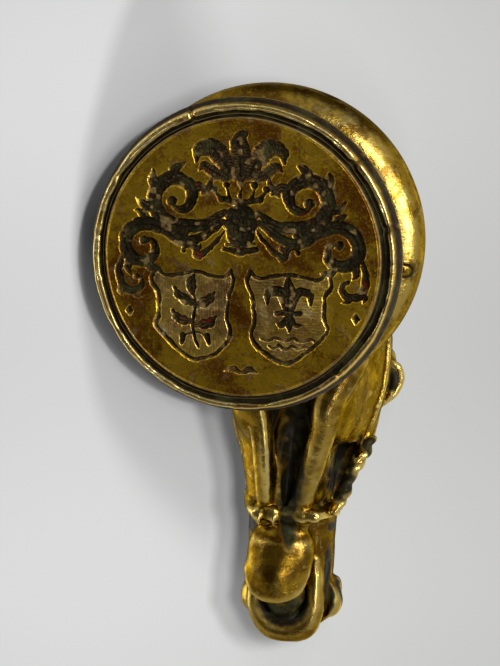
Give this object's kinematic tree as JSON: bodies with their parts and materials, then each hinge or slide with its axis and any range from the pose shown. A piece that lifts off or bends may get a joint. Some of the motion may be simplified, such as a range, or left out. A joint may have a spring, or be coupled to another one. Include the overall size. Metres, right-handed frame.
{
  "type": "seal matrix",
  "caption": "Desk seal: round engraved brass matrix on a turned collared base, with a cast horse-head handle.",
  "frame": {"origin": "centre of the sealing face, in the plane of the face", "axes": "+Z from the sealing face up along the handle, the horse looks towards -Y, its left side is +X"},
  "size_m": [0.0318, 0.068, 0.0503],
  "materials": {
    "engraved_brass": "worn and toned, black in the engraved lines",
    "turned_brass": "turned and handled, semi-bright",
    "cast_brass": "cast and chased, bright on the ridges, dark in the hollows",
    "iron": "dark forged iron"
  },
  "bodies": {
    "root": {"matrix_plate": "engraved_brass", "turned_base": "turned_brass", "horse_head_handle": "cast_brass", "tang_stud": "iron", "lock_pin": "turned_brass"}
  },
  "joints": []
}
